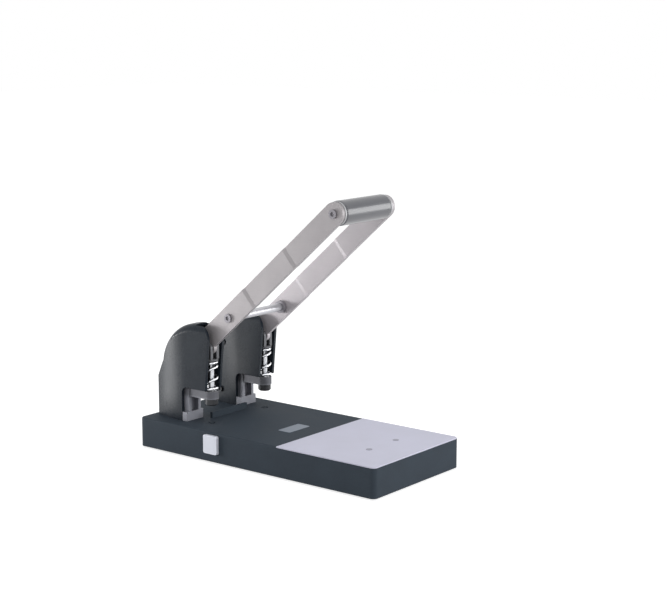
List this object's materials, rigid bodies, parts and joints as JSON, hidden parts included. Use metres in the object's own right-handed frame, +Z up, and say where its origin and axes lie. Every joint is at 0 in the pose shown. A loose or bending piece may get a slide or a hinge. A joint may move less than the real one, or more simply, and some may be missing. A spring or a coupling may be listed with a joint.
{
  "type": "two-hole paper punch",
  "caption": "Heavy desk punch: a long hinged lever drives hollow punches in hooded towers through a paper stack on a low base with a pull-out guide.",
  "frame": {"origin": "on the desk, under the middle of the base", "axes": "+X across the base to the right as seen from the front, +Y to the rear where the towers stand, +Z up"},
  "size_m": [0.138, 0.295, 0.2628],
  "materials": {
    "black_paint": "satin black paint with a blue cast",
    "black_plastic": "plain black moulding",
    "rubber": "matt black rubber",
    "screw_steel": "zinc-plated steel",
    "dark_steel": "blackened steel",
    "light_plate": "pale satin sheet",
    "badge": "plain pale inlay",
    "pale_plastic": "pale nylon",
    "cast_metal": "bead-blasted casting",
    "bush": "oil-blackened steel",
    "pin_steel": "ground steel",
    "hood_plastic": "dark satin moulding",
    "spring_wire": "bright plated spring wire",
    "arm_steel": "light satin plated strip",
    "bright_steel": "polished rod",
    "tool_steel": "ground tool steel",
    "clevis_steel": "turned steel",
    "grip": "dark smooth grip",
    "collar": "light turned collar",
    "guide_white": "pale moulding"
  },
  "bodies": {
    "base": {"base_shell": "black_paint", "bottom_cover": "black_plastic", "rubber_feet": "rubber", "cover_screws": "screw_steel", "front_plate": "light_plate", "plate_screws": "dark_steel", "badge_plate": "badge", "guide_track": "black_plastic", "track_screws": "screw_steel", "left_cutting_disc": "black_plastic", "right_cutting_disc": "black_plastic", "left_stand": "cast_metal", "right_stand": "cast_metal", "stand_screws": "screw_steel", "left_guide_bush": "bush", "right_guide_bush": "bush", "left_fulcrum_pin": "pin_steel", "right_fulcrum_pin": "pin_steel", "fulcrum_clips": "dark_steel", "fulcrum_washers": "pale_plastic", "left_stop_pin": "pin_steel", "right_stop_pin": "pin_steel", "left_outer_hood": "hood_plastic", "left_inner_hood": "hood_plastic", "right_inner_hood": "hood_plastic", "right_outer_hood": "hood_plastic", "hood_screws": "dark_steel", "left_return_spring": "spring_wire", "right_return_spring": "spring_wire"},
    "lever": {"left_arm": "arm_steel", "right_arm": "arm_steel", "tie_bar": "bright_steel", "tie_collars": "dark_steel", "tie_screws": "dark_steel", "grip_rod": "pin_steel", "grip_sleeve": "grip", "grip_collars": "collar", "grip_screws": "dark_steel"},
    "left_punch": {"left_punch_tube": "tool_steel", "left_punch_clevis": "clevis_steel", "left_link_pin": "pin_steel", "left_link_clip": "dark_steel"},
    "right_punch": {"right_punch_tube": "tool_steel", "right_punch_clevis": "clevis_steel", "right_link_pin": "pin_steel", "right_link_clip": "dark_steel"},
    "paper_guide": {"guide_bar": "pin_steel", "guide_end": "guide_white", "guide_rivets": "screw_steel"}
  },
  "joints": [
    {"name": "lever_hinge", "type": "hinge", "parent": "base", "child": "lever", "pos_m": [0, 0.1005, 0.0978], "axis": [1, 0, 0], "range_deg": [0, 41], "stiffness_Nm_per_rad": 2.5, "springref_deg": -25.78},
    {"name": "left_punch_slide", "type": "slide", "parent": "base", "child": "left_punch", "axis": [0, 0, -1], "range_m": [0, 0.01944], "deforming": ["left_return_spring"]},
    {"name": "right_punch_slide", "type": "slide", "parent": "base", "child": "right_punch", "axis": [0, 0, -1], "range_m": [0, 0.01944], "deforming": ["right_return_spring"]},
    {"name": "guide_slide", "type": "slide", "parent": "base", "child": "paper_guide", "axis": [-1, 0, 0], "range_m": [0, 0.09]}
  ],
  "couplings": [
    {"joint": "left_punch_slide", "follows": "lever_hinge", "m_per_rad": 0.027169},
    {"joint": "right_punch_slide", "follows": "lever_hinge", "m_per_rad": 0.027169}
  ]
}
